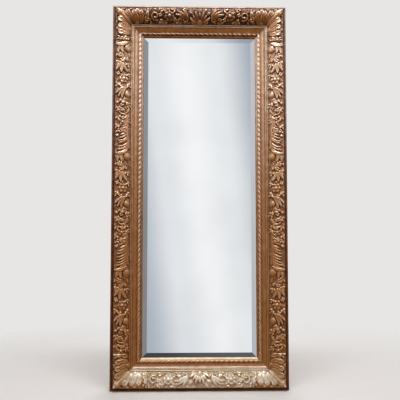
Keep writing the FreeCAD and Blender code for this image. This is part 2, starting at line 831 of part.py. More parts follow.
def end_motifs(reach):
    """A short rail: a palmette in the middle and the same run to each side of it."""
    eye, bloom, tuft = size("scroll_radius"), size("flower_radius"), size("sprig_length")
    motifs = fan(0, bed_arc * 0.05, 9, 66, bed_arc * 0.72, size("blade_width") * 0.8)
    for hand in (-1, 1):
        motifs += scroll(hand * reach * 0.34, bed_arc * 0.42, eye, -hand * 100, -hand)
        motifs += sprig(hand * reach * 0.36, bed_arc * 0.74, hand * 50, tuft)
        motifs += leaf(hand * reach * 0.58, bed_arc * 0.14, hand * 12, bed_arc * 0.62, 3)
        motifs += flower(hand * reach * 0.84, bed_arc * 0.42, bloom, 6)
        motifs += sprig(hand * reach * 0.84, bed_arc * 0.76, hand * 40, tuft)
    return motifs


def span(motif):
    box = motif.BoundBox
    return box.XMin, box.XMax


def within(motifs, start, end):
    return [motif for motif in motifs if span(motif)[1] > start and span(motif)[0] < end]


casts = {}
end_run = layout.outer_width / 2 - size("corner_leg")
end_cast = cast("end cast", -end_run, end_run, within(end_motifs(end_run), -end_run, end_run))
for side in ("top", "bottom"):
    casts[f"garland_{side}"] = (end_cast, side_placement(side))

long_run = layout.outer_height / 2 - size("corner_leg")
first_leaf = layout.outer_height / 2 - size("first_leaf_drop")
leaf_places = []
leaf_place = first_leaf + size("repeat_length")
while leaf_place > -long_run:
    leaf_places.append(leaf_place)
    leaf_place -= size("repeat_length")
long_motifs = [motif for where in leaf_places for motif in repeat_motifs(where)]
mirror_plane = (Vector(0, 0, 0), Vector(1, 0, 0))
cast_run = 2 * long_run / casts_per_long_rail
for index, name in enumerate(("upper", "middle", "lower")):
    high = long_run - index * cast_run
    low = high - cast_run
    shape = cast(f"long cast {name}", low, high, within(long_motifs, low, high))
    casts[f"garland_left_{name}"] = (shape, side_placement("left"))
    casts[f"garland_right_{name}"] = (shape.mirror(*mirror_plane), side_placement("right"))


def mitre_spot(arc, rise):
    spot = bed_spot(0, arc, rise)
    return Vector(layout.outer_width / 2 + spot.z, spot.y, spot.z)


def corner_arm():
    """Half of a corner leaf, on the top rail, from its square end to the mitre on the right."""
    half = layout.outer_width / 2
    start = half - size("corner_leg")
    foot = half - layout.bed_end
    sections = []
    for arc, width in ((bed_arc * 0.2, size("corner_rib_inner_width")),
                       (bed_arc * 0.55, size("corner_rib_outer_width"))):
        ridge = mitre_spot(arc, relief * 1.2)
        under = mitre_spot(arc, -sink)
        edge = bed_spot(under.x - width, arc + width * 0.4, -sink)
        sections.append((edge, ridge, under))
    foot_spot, tip_spot = (
        mitre_spot(arc, -sink / 2) for arc in (size("corner_rib_foot"), bed_arc * 0.94))
    motifs = [ridged(foot_spot, sections, tip_spot)]
    for index in range(4):
        heading = 24 - index * 25
        reach = bed_arc * (0.8 - 0.05 * index)
        motifs.append(ray(foot, size("corner_ray_foot"), heading, size("corner_ray_start"), reach,
                          size("blade_width"), relief, -12))
    motifs += scroll(start + 1.4 * size("scroll_radius"), bed_arc * 0.5,
                     size("scroll_radius"), 60, 1)
    shape = bed_layer(start, half, plate_radius).multiFuse(motifs)
    shape = shape.common(bed_layer(start, half, trim_radius))
    past = size("moulding_width")
    plan = [
        Vector(start, 0, past), Vector(start, 0, -past),
        Vector(half - past, 0, -past), Vector(half + past, 0, past),
    ]
    wedge = Part.Face(Part.makePolygon(plan + plan[:1])).extrude(Vector(0, -2 * past, 0))
    return one_solid(shape.common(wedge), "corner arm")


arm = corner_arm()
arm.Placement = side_placement("top")
outer_corner = Vector(layout.outer_width / 2, 0, layout.outer_height / 2)
other_arm = arm.mirror(outer_corner, Vector(1, 0, -1).normalize())
corner = one_solid(arm.fuse(other_arm), "corner leaf")
middle = Vector(0, 0, 0)
corners = {
    "top_right": corner,
    "top_left": corner.mirror(middle, Vector(1, 0, 0)),
    "bottom_right": corner.mirror(middle, Vector(0, 0, 1)),
    "bottom_left": corner.mirror(middle, Vector(1, 0, 0)).mirror(middle, Vector(0, 0, 1)),
}
ornament = [solid_feature(f"corner_leaf_{name}", shape) for name, shape in corners.items()]
ornament += [solid_feature(name, shape, where) for name, (shape, where) in casts.items()]

# Check everything, then write one file for each sub-part

doc.recompute()
sub_parts = (rails + rope_strips + ornament + buttons + hangers
             + [mirror_glass, backing_board, glass_packers, mitre_wedges]
             + [turn_button_screws, hanger_screws, wall_bumpers])
for item in doc.Objects:
    if "Invalid" in item.State or "Error" in item.State:
        raise RuntimeError(f"{item.Label} failed: {item.State}")
for item in sub_parts:
    if item.Shape.isNull() or not item.Shape.isValid():
        raise RuntimeError(f"{item.Label} has no valid shape")
os.makedirs("parts", exist_ok=True)
for item in sub_parts:
    item.Shape.exportStep(f"parts/{item.Label}.step")
print(f"wrote {len(sub_parts)} sub-parts, "
      f"{layout.outer_width:.0f} x {layout.outer_height:.0f} mm overall")
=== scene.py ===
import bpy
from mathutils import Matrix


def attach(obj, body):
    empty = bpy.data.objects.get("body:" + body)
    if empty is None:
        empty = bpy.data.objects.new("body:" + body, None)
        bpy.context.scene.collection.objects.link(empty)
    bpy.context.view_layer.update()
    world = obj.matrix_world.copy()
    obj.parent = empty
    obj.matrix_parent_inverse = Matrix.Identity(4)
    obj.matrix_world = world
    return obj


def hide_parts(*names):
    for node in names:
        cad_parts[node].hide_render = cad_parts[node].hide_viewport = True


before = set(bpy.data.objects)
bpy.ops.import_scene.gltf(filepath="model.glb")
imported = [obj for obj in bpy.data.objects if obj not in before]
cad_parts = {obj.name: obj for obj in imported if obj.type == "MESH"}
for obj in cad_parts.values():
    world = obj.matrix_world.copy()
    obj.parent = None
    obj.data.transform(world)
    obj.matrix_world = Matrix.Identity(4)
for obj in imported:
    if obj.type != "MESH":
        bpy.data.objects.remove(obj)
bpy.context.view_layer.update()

import math
import bpy
import numpy as np
from mathutils import Vector

print("frame loaded:", len(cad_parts), "nodes")

# the moulding as the workshop drawing gives it, in mm; across runs inwards from the outer edge
moulding = {
    "halfWidth": 379.0,
    "halfHeight": 829.0,
    "backPlane": -8.0,
    "crestPlace": 30.0,  # across, where the bed is highest
    "bedCentre": -8.0,  # height of the centre of the bed's curve
    "bedRadius": 60.1,
    "castRadius": 62.0,  # the ground of the casts
    "innerAngle": math.asin(48 / 60),
    "outerAngle": -math.asin(14 / 60),
    "ropeCentre": 118.25,
    "ropeSeat": 13.5,
    "sightEdge": 133.0,
}
bedArc = (moulding["innerAngle"] - moulding["outerAngle"]) * moulding["castRadius"]


# nodes and materials

def addNode(tree, kind, inputs=None, **settings):  # sockets are linked, plain values are set
    made = tree.nodes.new(kind)
    for name, value in settings.items():
        setattr(made, name, value)
    for name, value in (inputs or {}).items():
        if isinstance(value, bpy.types.NodeSocket):
            tree.links.new(value, made.inputs[name])
        else:
            made.inputs[name].default_value = value
    return made


def calc(tree, operation, first, second=0.0, third=0.0):
    return addNode(tree, "ShaderNodeMath", {0: first, 1: second, 2: third},
                   operation=operation).outputs[0]


def remap(tree, value, low, high, toLow, toHigh):
    return addNode(tree, "ShaderNodeMapRange", {
        "Value": value, "From Min": low, "From Max": high,
        "To Min": toLow, "To Max": toHigh}).outputs[0]


def ramp(tree, value, stops, interpolation="LINEAR"):  # stops are (place, colour or grey)
    made = addNode(tree, "ShaderNodeValToRGB", {"Fac": value})
    band = made.color_ramp
    band.interpolation = interpolation
    while len(band.elements) < len(stops):
        band.elements.new(1.0)
    for element, (place, colour) in zip(band.elements, stops):
        element.position = place
        shade = colour if isinstance(colour, tuple) else (colour, colour, colour)
        element.color = (*shade, 1.0)
    return made.outputs[0]


def mix(tree, share, first, second):
    made = addNode(tree, "ShaderNodeMix", data_type="RGBA")
    for index, value in ((0, share), (6, first), (7, second)):
        if isinstance(value, bpy.types.NodeSocket):
            tree.links.new(value, made.inputs[index])
        else:
            made.inputs[index].default_value = (*value, 1.0) if isinstance(value, tuple) else value
    return made.outputs[2]


def noise(tree, vector, scale, detail=3.0, roughness=0.55):
    return addNode(tree, "ShaderNodeTexNoise", {
        "Vector": vector, "Scale": scale, "Detail": detail, "Roughness": roughness}).outputs["Fac"]


def stretched(tree, vector, scale):
    return addNode(tree, "ShaderNodeMapping", {"Vector": vector, "Scale": scale}).outputs[0]


def bump(tree, height, distance, strength=1.0):
    return addNode(tree, "ShaderNodeBump", {
        "Height": height, "Distance": distance, "Strength": strength}).outputs[0]


def newMaterial(name):
    made = bpy.data.materials.new(name)
    made.use_nodes = True
    tree = made.node_tree
    shader = tree.nodes["Principled BSDF"]
    place = addNode(tree, "ShaderNodeTexCoord").outputs["Object"]
    return made, tree, shader, place


def feed(tree, shader, **inputs):  # names are the shader's sockets without spaces
    for name, value in inputs.items():
        socket = next(s for s in shader.inputs if s.name.replace(" ", "") == name)
        if isinstance(value, bpy.types.NodeSocket):
            tree.links.new(value, socket)
        else:
            socket.default_value = (*value, 1.0) if isinstance(value, tuple) else value


gilding = {
    "stops": [  # from the dark glaze in the hollows to the rubbed high places
        (0.00, (0.040, 0.010, 0.001)),
        (0.22, (0.140, 0.042, 0.004)),
        (0.45, (0.340, 0.122, 0.014)),
        (0.68, (0.500, 0.235, 0.065)),
        (0.88, (0.620, 0.485, 0.330)),
        (1.00, (0.800, 0.710, 0.600)),
    ],
    "mottle": {"scale": 38.0, "detail": 5.0, "roughness": 0.62, "range": (0.25, 0.75),
               "wear": 0.13},
    "grain": {"scale": 420.0, "detail": 2.0, "range": (0.3, 0.7), "wear": 0.05,
              "gloss": (-0.05, 0.06)},
    "bump": {"mottleShare": 2.0, "depth": 0.0006, "strength": 0.35},
    "metallic": (0.1, 0.6, 0.30, 0.60),  # wear of glaze and of leaf, then the values there
    "roughness": (0.1, 0.9, 0.60, 0.40),
    "coat": (0.05, 0.5, 0.10, 0.95),  # lacquer, dull over the glaze and bright over the leaf
    "thinned": (0.35, 1.05),  # share of the lacquer left at the foot of the frame and at its top
    "coatIor": 2.2,
    "coatRoughness": 0.34,
    "rubbedUp": 0.14,  # painted light from above: what faces upwards is painted paler, what faces down is painted darker as shade
    "facingReach": 0.8,  # upward or downward part of the normal where that painted light and shade is full
    "settled": (-0.07, 0.02),  # painted falloff of light: darker low on the frame, paler at its top
    "rubbedRight": 0.05,  # painted light: paler towards the right-hand edge
    "polished": (0.42, 1.0, 1.45),  # painted highlight and shade: wear is drawn away from this middle, the more the higher up
    "dust": (0.46, 0.40, 0.21),  # dust in the hollows of the bottom carving that face upwards, and a painted highlight there of the light from above
    "dustFacing": (0.15, 0.55),
    "dustHeight": (-0.73, -0.68),
    "dustDepth": (0.55, 0.95),  # wear where the dust and painted light start to thin, and where they end
}


def gild(tree, shader, place, wear, withDustAndLight=False):  # wear: 0 is a glazed hollow, 1 a rubbed edge
    mottle, fine, up = gilding["mottle"], gilding["grain"], gilding["rubbedUp"]
    broad = noise(tree, place, mottle["scale"], mottle["detail"], mottle["roughness"])
    grain = noise(tree, place, fine["scale"], fine["detail"])
    facing = addNode(tree, "ShaderNodeNewGeometry").outputs["Normal"]
    upwards = addNode(tree, "ShaderNodeSeparateXYZ", {0: facing}).outputs[2]
    axes = addNode(tree, "ShaderNodeSeparateXYZ", {0: place}).outputs
    wide, high = moulding["halfWidth"] / 1000, moulding["halfHeight"] / 1000
    reach = gilding["facingReach"]
    share = wear
    # mottle and grain are random tone; the terms by facing, by height and towards the right are
    # painted light and shade
    for added in (remap(tree, broad, *mottle["range"], -mottle["wear"], mottle["wear"]),
                  remap(tree, grain, *fine["range"], -fine["wear"], fine["wear"]),
                  remap(tree, upwards, -reach, reach, -up, up),
                  remap(tree, axes[2], -high, high, *gilding["settled"]),
                  remap(tree, axes[0], 0.0, wide, 0.0, gilding["rubbedRight"])):
        share = calc(tree, "ADD", share, added)
    # painted highlight and shade: the higher up, the paler the pale places and the darker the
    # others
    middle, low, top = gilding["polished"]
    share = calc(tree, "MULTIPLY_ADD", calc(tree, "SUBTRACT", share, middle),
                 remap(tree, axes[2], 0.0, high, low, top), middle)
    metal = remap(tree, share, *gilding["metallic"])
    gloss = calc(tree, "ADD", remap(tree, share, *gilding["roughness"]),
                 remap(tree, grain, *fine["range"], *fine["gloss"]))
    coat = calc(tree, "MULTIPLY", remap(tree, share, *gilding["coat"]),
                remap(tree, axes[2], -high, high, *gilding["thinned"]))
    colour = ramp(tree, share, gilding["stops"])
    # pale dust in the upward hollows low on the frame, partly a painted highlight of the light from
    # above
    if withDustAndLight:
        dustAndLightShare = calc(tree, "MULTIPLY", remap(tree, upwards, *gilding["dustFacing"], 0.0, 1.0),
                     remap(tree, axes[2], *gilding["dustHeight"], 1.0, 0.0))
        dustAndLightShare = calc(tree, "MULTIPLY", dustAndLightShare, remap(tree, share, *gilding["dustDepth"], 1.0, 0.0))
        freeOfDustAndLight = calc(tree, "SUBTRACT", 1.0, dustAndLightShare)
        colour = mix(tree, dustAndLightShare, colour, gilding["dust"])
        metal, coat = calc(tree, "MULTIPLY", metal, freeOfDustAndLight), calc(tree, "MULTIPLY", coat, freeOfDustAndLight)
    feed(tree, shader, BaseColor=colour, Metallic=metal, Roughness=gloss, CoatWeight=coat,
         CoatRoughness=gilding["coatRoughness"], CoatIOR=gilding["coatIor"])
    relief = gilding["bump"]
    height = calc(tree, "ADD", grain, calc(tree, "MULTIPLY", broad, relief["mottleShare"]))
    return bump(tree, height, relief["depth"], relief["strength"])


ornamentGold, tree, shader, place = newMaterial("ornamentGold")
# the wear attribute carries the carving's wear and, on the short rails, corners and rope, painted
# light and shade
reliefWearAndLight = addNode(tree, "ShaderNodeAttribute", attribute_name="wear").outputs["Fac"]
feed(tree, shader, Normal=gild(tree, shader, place, reliefWearAndLight, withDustAndLight=True))

railFinish = {
    # (across in mm, wear): dark in groove and quirks, rubbed on beads, fillet and lip
    "outside": [
        (0, 0.30), (3, 0.29), (6.8, 0.26), (7.6, 0.20), (9, 0.18), (14, 0.20), (15, 0.34),
        (22, 0.40), (72, 0.40), (78.6, 0.30),
    ],
    # the lip darkens at its inner edge, 131 to 133 mm, as a painted shadow along the glass
    "inside": [
        (79.6, 0.12), (80.8, 0.62), (83, 0.84), (85.2, 0.62), (86, 0.14), (87.2, 0.60),
        (89.5, 0.82), (91.8, 0.62), (92.8, 0.16), (94, 0.60), (97, 0.66), (102, 0.60),
        (105, 0.52), (110, 0.46), (111.8, 0.18), (124.6, 0.18), (125.4, 0.40), (128, 0.54),
        (131, 0.52), (132.2, 0.34), (133, 0.20),
    ],
    "insideLow": [  # the bottom rail, painted as lit from above: its beads, fillet and lip paler, part of the cavetto darker
        (79.6, 0.16), (80.8, 0.96), (83, 1.00), (85.2, 0.96), (86, 0.34), (87.2, 0.96),
        (89.5, 1.00), (91.2, 0.90), (92.4, 0.16), (93.8, 0.88), (96.4, 0.90), (97.4, 0.30),
        (100, 0.30), (104, 0.46), (110, 0.60), (111.8, 0.42), (124.6, 0.30), (125.4, 0.54),
        (129, 0.78), (132, 0.88), (133, 0.82),
    ],
    "wood": [(0.0, (0.36, 0.22, 0.11)), (0.55, (0.50, 0.33, 0.18)), (1.0, (0.62, 0.44, 0.26))],
    "woodGrain": {"along": 6, "deep": 90, "over": 150, "detail": 4.0, "roughness": 0.6},
    "woodRoughness": 0.78,
    "backFace": -0.0083,  # what lies behind this is bare wood
}
railGold, tree, shader, place = newMaterial("railGold")
axes = addNode(tree, "ShaderNodeSeparateXYZ", {0: place}).outputs
fromSide = calc(tree, "SUBTRACT", moulding["halfWidth"] / 1000, calc(tree, "ABSOLUTE", axes[0]))
fromEnd = calc(tree, "SUBTRACT", moulding["halfHeight"] / 1000, calc(tree, "ABSOLUTE", axes[2]))
across = calc(tree, "MULTIPLY", calc(tree, "MINIMUM", fromSide, fromEnd),
              1000 / moulding["sightEdge"])
upright = calc(tree, "LESS_THAN", fromSide, fromEnd)
lowRail = calc(tree, "MULTIPLY", calc(tree, "SUBTRACT", 1.0, upright),
               calc(tree, "LESS_THAN", axes[2], 0.0))
# the bottom rail takes the profile painted as lit from above, the other rails the plain one
profileWearAndLight = [ramp(tree, across, [(distance / moulding["sightEdge"], wear)
                                    for distance, wear in railFinish["outside"] + railFinish[kind]])
                for kind in ("inside", "insideLow")]
normal = gild(tree, shader, place, mix(tree, lowRail, *profileWearAndLight))
wood = railFinish["woodGrain"]
alongX, alongZ = (
    noise(tree, stretched(tree, place, scales), 1.0, wood["detail"], wood["roughness"])
    for scales in ((wood["along"], wood["deep"], wood["over"]),
                   (wood["over"], wood["deep"], wood["along"])))
grain = addNode(tree, "ShaderNodeMix", {0: upright, 2: alongX, 3: alongZ}).outputs[0]
bareBack = calc(tree, "GREATER_THAN", axes[1], railFinish["backFace"])
gilded = calc(tree, "SUBTRACT", 1.0, bareBack)
links = {s.name: s.links[0].from_socket for s in shader.inputs if s.is_linked}
feed(tree, shader,
     BaseColor=mix(tree, bareBack, links["Base Color"], ramp(tree, grain, railFinish["wood"])),
     Metallic=calc(tree, "MULTIPLY", links["Metallic"], gilded),
     Roughness=calc(tree, "MAXIMUM", links["Roughness"],
                    calc(tree, "MULTIPLY", bareBack, railFinish["woodRoughness"])),
     CoatWeight=calc(tree, "MULTIPLY", links["Coat Weight"], gilded), Normal=normal)

mirrorFinish = {
    "silver": (0.93, 0.945, 0.955),
    "edge": (0.55, 0.66, 0.62),
    "edgeWidth": 0.004,  # over which the green of the edge gives way to silver
    "halfSize": (0.250, 0.700),
}
mirrorSilver, tree, shader, place = newMaterial("mirrorSilver")
axes = addNode(tree, "ShaderNodeSeparateXYZ", {0: place}).outputs
toSide = calc(tree, "SUBTRACT", mirrorFinish["halfSize"][0], calc(tree, "ABSOLUTE", axes[0]))
toEnd = calc(tree, "SUBTRACT", mirrorFinish["halfSize"][1], calc(tree, "ABSOLUTE", axes[2]))
inside = remap(tree, calc(tree, "MINIMUM", toSide, toEnd), 0.0, mirrorFinish["edgeWidth"], 0.0, 1.0)
feed(tree, shader, BaseColor=mix(tree, inside, mirrorFinish["edge"], mirrorFinish["silver"]),
     Metallic=1.0, Roughness=0.0)

boardFinish = {
    "fibre": [(0.25, (0.150, 0.080, 0.040)), (0.55, (0.235, 0.135, 0.070)),
              (0.80, (0.320, 0.200, 0.115))],
    "fibreScale": 60.0,
    "screenPitch": 0.0022,  # the woven mark of the press
    "relief": 0.0003,
    "roughness": 0.85,
}
hardboard, tree, shader, place = newMaterial("hardboard")
axes = addNode(tree, "ShaderNodeSeparateXYZ", {0: place}).outputs
turns = 2 * math.pi / boardFinish["screenPitch"]
warp = calc(tree, "SINE", calc(tree, "MULTIPLY", axes[0], turns))
weft = calc(tree, "SINE", calc(tree, "MULTIPLY", axes[2], turns))
fibre = noise(tree, place, boardFinish["fibreScale"], detail=6.0, roughness=0.7)
screen = calc(tree, "MULTIPLY", warp, weft)
feed(tree, shader, BaseColor=ramp(tree, fibre, boardFinish["fibre"]),
     Roughness=boardFinish["roughness"],
     Normal=bump(tree, calc(tree, "ADD", screen, fibre), boardFinish["relief"], strength=0.5))

metals = {
    "brass": {"bright": (0.72, 0.50, 0.20), "dull": (0.36, 0.21, 0.075), "scale": 70.0,
              "gloss": (0.24, 0.5)},
    "zincSteel": {"bright": (0.56, 0.56, 0.545), "dull": (0.36, 0.36, 0.35), "scale": 120.0,
                  "gloss": (0.30, 0.48)},
    "bluedSteel": {"bright": (0.19, 0.20, 0.23), "dull": (0.07, 0.065, 0.06), "scale": 90.0,
                   "gloss": (0.3, 0.5)},
}
metalGrain = {"stretch": (900, 900, 60), "share": 0.25, "tarnish": (0.45, 0.85), "relief": 0.0001}


def hardwareMetal(name):  # bright metal with duller tarnish in patches and fine drawn lines
    look = metals[name]
    made, tree, shader, place = newMaterial(name)
    patch = noise(tree, place, look["scale"], detail=5.0, roughness=0.65)
    lines = noise(tree, stretched(tree, place, metalGrain["stretch"]), 1.0, detail=2.0)
    dulled = calc(tree, "ADD", patch, calc(tree, "MULTIPLY", lines, metalGrain["share"]))
    tarnish = remap(tree, dulled, *metalGrain["tarnish"], 0.0, 1.0)
    feed(tree, shader, BaseColor=mix(tree, tarnish, look["bright"], look["dull"]), Metallic=1.0,
         Roughness=remap(tree, tarnish, 0.0, 1.0, *look["gloss"]),
         Normal=bump(tree, lines, metalGrain["relief"], strength=0.3))
    return made


rubbers = {
    "bumperRubber": {"dark": (0.020, 0.019, 0.018), "pale": (0.045, 0.043, 0.041), "scale": 500.0},
    "packerRubber": {"dark": (0.012, 0.012, 0.012), "pale": (0.030, 0.030, 0.030), "scale": 800.0},
}
rubberGrain = {"gloss": (0.6, 0.8), "relief": 0.0002}


def rubber(name):
    look = rubbers[name]
    made, tree, shader, place = newMaterial(name)
    speck = noise(tree, place, look["scale"])
    feed(tree, shader, BaseColor=mix(tree, speck, look["dark"], look["pale"]),
         Roughness=remap(tree, speck, 0.3, 0.7, *rubberGrain["gloss"]),
         Normal=bump(tree, speck, rubberGrain["relief"], strength=0.4))
    return made


brass, zincSteel, bluedSteel = (hardwareMetal(name) for name in metals)
bumperRubber, packerRubber = (rubber(name) for name in rubbers)

finishes = [
    ("rail_", railGold), ("rope_strip_", ornamentGold), ("corner_leaf_", ornamentGold),
    ("garland_", ornamentGold), ("mirror_glass", mirrorSilver), ("backing_board", hardboard),
    ("turn_button_", brass), ("hanger_", zincSteel), ("mitre_wedges", bluedSteel),
    ("glass_packers", packerRubber), ("wall_bumpers", bumperRubber),
]
for nodeName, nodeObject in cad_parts.items():
    finish = next(made for start, made in finishes if nodeName.startswith(start))
    nodeObject.data.materials.clear()
    nodeObject.data.materials.append(finish)
print("materials: done")


# surfaces

def makePiece(name, points, smoothFaces, flatFaces, material, stands, values=None):
    # faces are index arrays with one row a face; the flat ones keep their edges sharp
    groups = [np.atleast_2d(g) for g in (*smoothFaces, *flatFaces)]
    corners = np.concatenate([g.ravel() for g in groups])
    counts = np.concatenate([np.full(len(g), g.shape[1]) for g in groups])
    flat = np.zeros(len(counts), bool)
    flat[sum(len(np.atleast_2d(g)) for g in smoothFaces):] = True
    mesh = bpy.data.meshes.new(name)
    mesh.vertices.add(len(points))
    mesh.vertices.foreach_set("co", np.ascontiguousarray(points / 1000, np.float32).ravel())
    mesh.loops.add(len(corners))
    mesh.loops.foreach_set("vertex_index", corners.astype(np.int32))
    mesh.polygons.add(len(counts))
    mesh.polygons.foreach_set("loop_start", (np.cumsum(counts) - counts).astype(np.int32))
    mesh.polygons.foreach_set("use_smooth", ~flat)
    if values is not None:
        wear = mesh.attributes.new("wear", "FLOAT", "POINT")
        wear.data.foreach_set("value", values.astype(np.float32))
    mesh.update(calc_edges=True)
    mesh.validate()
    mesh.materials.append(material)
    piece = bpy.data.objects.new(name, mesh)
    bpy.context.scene.collection.objects.link(piece)
    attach(piece, "frame")
    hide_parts(*stands)
    return piece


def gridFaces(numbers, flip):  # four-cornered faces over a grid of vertex numbers
    a, b, c, d = numbers[:-1, :-1], numbers[1:, :-1], numbers[1:, 1:], numbers[:-1, 1:]
    order = (a, d, c, b) if flip else (a, b, c, d)
    return np.stack([corner.ravel() for corner in order], -1)


def bedSection(arc, rise, radius=moulding["castRadius"]):
    # a circle about the bed's centre: across and height follow sine and cosine of the arc's angle
    angle = moulding["innerAngle"] - arc / moulding["castRadius"]
    across = moulding["crestPlace"] + (radius + rise) * np.sin(angle)
    height = moulding["bedCentre"] + (radius + rise) * np.cos(angle)
    return across, height


def onSide(side, along, across, height):  # along runs to the right or upwards
    depth = moulding["backPlane"] - height
    if side in ("top", "bottom"):
        reach = moulding["halfHeight"] - across
        return np.stack((along, depth, reach if side == "top" else -reach), -1)
    reach = moulding["halfWidth"] - across
    return np.stack((reach if side == "right" else -reach, depth, along), -1)


carving = {
    "spacing": 0.9,  # of the sheet's places
    "rise": 7.4,  # of a full leaf
    "underSpacing": 26.0,  # of the small leaves on the ground
    "groundDepth": 0.7,  # the ground lies this much under the casts' level
    "sanding": 0.16,  # roughness of the ground
    "vein": 0.3,
    "veined": 14.0,  # leaves this wide have the full vein
    "softening": 1.1,  # of the finished heights, in places
    "near": 1.1,  # mm around a place that count as its close and its wider surroundings
    "wider": 3.2,
    # wear of the ground, for a mm of height, and for a mm above the wider and close surroundings
    "wear": (0.44, 0.026, 0.105, 0.14),
    "wearLimits": (0.02, 0.98),
    # painted light and shade added to the wear at the inner edge, the middle and the outer edge of
    # a short rail: the top one darker, the bottom one paler
    "rubbed": {"top": (-0.09, -0.30, -0.14), "bottom": (-0.04, 0.54, 0.80)},
    "rubbedCorner": {"top": (-0.16, -0.12), "bottom": (0.34, 0.02)},  # painted light and shade on the short and long rail
    "rimFade": 3.0,  # the relief runs out this near the bed's edges
    "endFade": 5.0,  # and this near the end of a run
    "fans": (650.0, 176.0, -321.0),  # where the curls sit up the long rails
    "longHalf": 669.0,
    "shortHalf": 219.0,
    "cornerLeg": 160.0,
    "mitreMiddle": 45.0,  # across, about halfway along a mitre
}


# relief: heights in mm over a sheet of (along, arc) places, arc from the bed's inner edge

def soften(heights, width):  # a bell curve slid over both directions
    reach = max(1, int(3 * width))
    bell = np.exp(-0.5 * (np.arange(-reach, reach + 1) / width) ** 2)
    bell /= bell.sum()
    for axis in (0, 1):
        pads = [(reach, reach) if a == axis else (0, 0) for a in (0, 1)]
        wide = np.pad(heights, pads, mode="edge")
        count = heights.shape[axis]
        heights = sum(share * wide.take(range(k, k + count), axis) for k, share in enumerate(bell))
    return heights


def stroke(sheet, line, halves, rises, lift=0.0, flutes=0.0, groove=0.3, vein=0.0):
    # each place takes the nearest point of a bent line: its height there is the lift plus the
    # rise times a rounded section, with flutes and a narrow vein cut along the line
    line = np.asarray(line, float)
    reach = halves.max()
    low, high = line.min(0) - reach, line.max(0) + reach
    along, arc = sheet["along"], sheet["arc"]
    near = np.nonzero((along > low[0]) & (along < high[0]) & (arc > low[1]) & (arc < high[1]))
    if not len(near[0]):
        return
    spots = np.stack((along[near], arc[near]), -1)
    gaps = spots[None] - line[:, None]
    best = (gaps ** 2).sum(-1).argmin(0)
    off = gaps[best, np.arange(len(spots))]
    heading = np.gradient(line, axis=0)[best]
    step = np.hypot(heading[:, 0], heading[:, 1]) + 1e-9
    ahead = (off * heading).sum(-1) / step ** 2
    place = np.clip(best + ahead, 0, len(line) - 1)
    past = (best + ahead - place) * step
    side = (off[:, 0] * heading[:, 1] - off[:, 1] * heading[:, 0]) / step
    ticks = np.arange(len(line))
    half = np.interp(place, ticks, halves) + 1e-6
    ratio = np.hypot(side, past) / half
    section = np.clip(1 - ratio ** 2, 0, None) ** 0.75
    if flutes:
        section = section * (1 - groove * (0.5 - 0.5 * np.cos(2 * np.pi * flutes * ratio)))
    section = section * (1 - vein * np.exp(-(side / (0.8 + 0.12 * half)) ** 2))
    edge = np.clip((1 - ratio) * 5, 0, 1)  # the lift falls away over the outer fifth
    heights = lift * edge + np.interp(place, ticks, rises) * section
    heights[ratio >= 1] = -9  # so deep that nothing is laid on there
    sheet["height"][near] = np.maximum(sheet["height"][near], heights)


shares = np.linspace(0, 1, 25)  # places along a leaf from foot to tip


def bowed(foot, tip, bow):  # a parabola from foot to tip, bowed sideways by a share of its length
    foot, tip = np.asarray(foot, float), np.asarray(tip, float)
    run = tip - foot
    side = np.array([run[1], -run[0]])
    return foot + shares[:, None] * run + (4 * bow * shares * (1 - shares))[:, None] * side


def turned(heading):  # degrees from straight outwards, positive towards +along
    angle = math.radians(heading)
    return np.array([math.sin(angle), math.cos(angle)])


def blade(sheet, foot, heading, length, width, rise, bow=0.0, lift=0.6, flutes=0.5, groove=0.2,
          fullness=1.25):
    # widest beyond its middle, the more so the fuller it is, rising towards a rounded tip
    foot = np.asarray(foot, float)
    line = bowed(foot, foot + length * turned(heading), bow)
    halves = width / 2 * np.sin(np.pi * (0.06 + 0.90 * shares) ** fullness) ** 0.75
    stroke(sheet, line, halves, rise * (0.42 + 0.58 * shares ** 0.8), lift, flutes, groove,
           vein=carving["vein"] * min(1.0, width / carving["veined"]))


def dome(sheet, centre, radius, rise, lift=0.8):
    away = np.hypot(sheet["along"] - centre[0], sheet["arc"] - centre[1]) / radius
    inside = away < 1
    heights = lift + rise * np.sqrt(1 - away[inside] ** 2)
    sheet["height"][inside] = np.maximum(sheet["height"][inside], heights)


def palmette(sheet, along, foot, count, opening, length, width, rise):
    # bowed blades fan out from a smooth heart at the inner edge, pairs long and short by turns
    heart = 8
    for index, turn in enumerate(sorted(np.linspace(-1, 1, count), key=abs, reverse=True)):
        short = index % 4 < 2
        reach = length * (1 - 0.20 * turn ** 2) * (0.84 if short else 1.0)
        start = np.array([along, foot]) + heart * turned(opening * turn)
        blade(sheet, start, opening * turn, reach - heart, width, rise, bow=0.16 * turn,
              lift=1.2 if short else 2.2)
    dome(sheet, (along, foot + heart / 2), 14.0, rise * 0.9, lift=1.6)


def layered(sheet, start, end, count, inner, outer, width, rise, slant):
    # a long leaf lying along the rail: blades one after another from its rib at the inner side,
    # swept outwards and on, short at its root and longest at its end
    chance = np.random.default_rng(int(abs(start)))
    for share in np.linspace(0, 1, count):
        along = start + (end - start) * share + chance.uniform(-2.5, 2.5)
        reach = inner + (outer - inner) * (0.45 + 0.55 * share ** 0.6) + chance.uniform(-6, 3)
        foot = np.array([along - slant * 0.6, inner])
        line = bowed(foot, (along + slant, reach), chance.uniform(0.08, 0.2) * np.sign(slant))
        wide = chance.uniform(0.8, 1.1) * width
        halves = wide / 2 * np.sin(np.pi * (0.10 + 0.84 * shares)) ** 0.6
        stroke(sheet, line, halves, rise * (0.45 + 0.55 * shares) * (0.7 + 0.3 * share),
               lift=1.0, flutes=0.5, groove=0.2, vein=carving["vein"])
    rib = bowed((start, inner + 6), (end, inner), 0.03)
    stroke(sheet, rib, 4.0 + 3.0 * shares, rise * (0.5 + 0.2 * shares), lift=0.6)


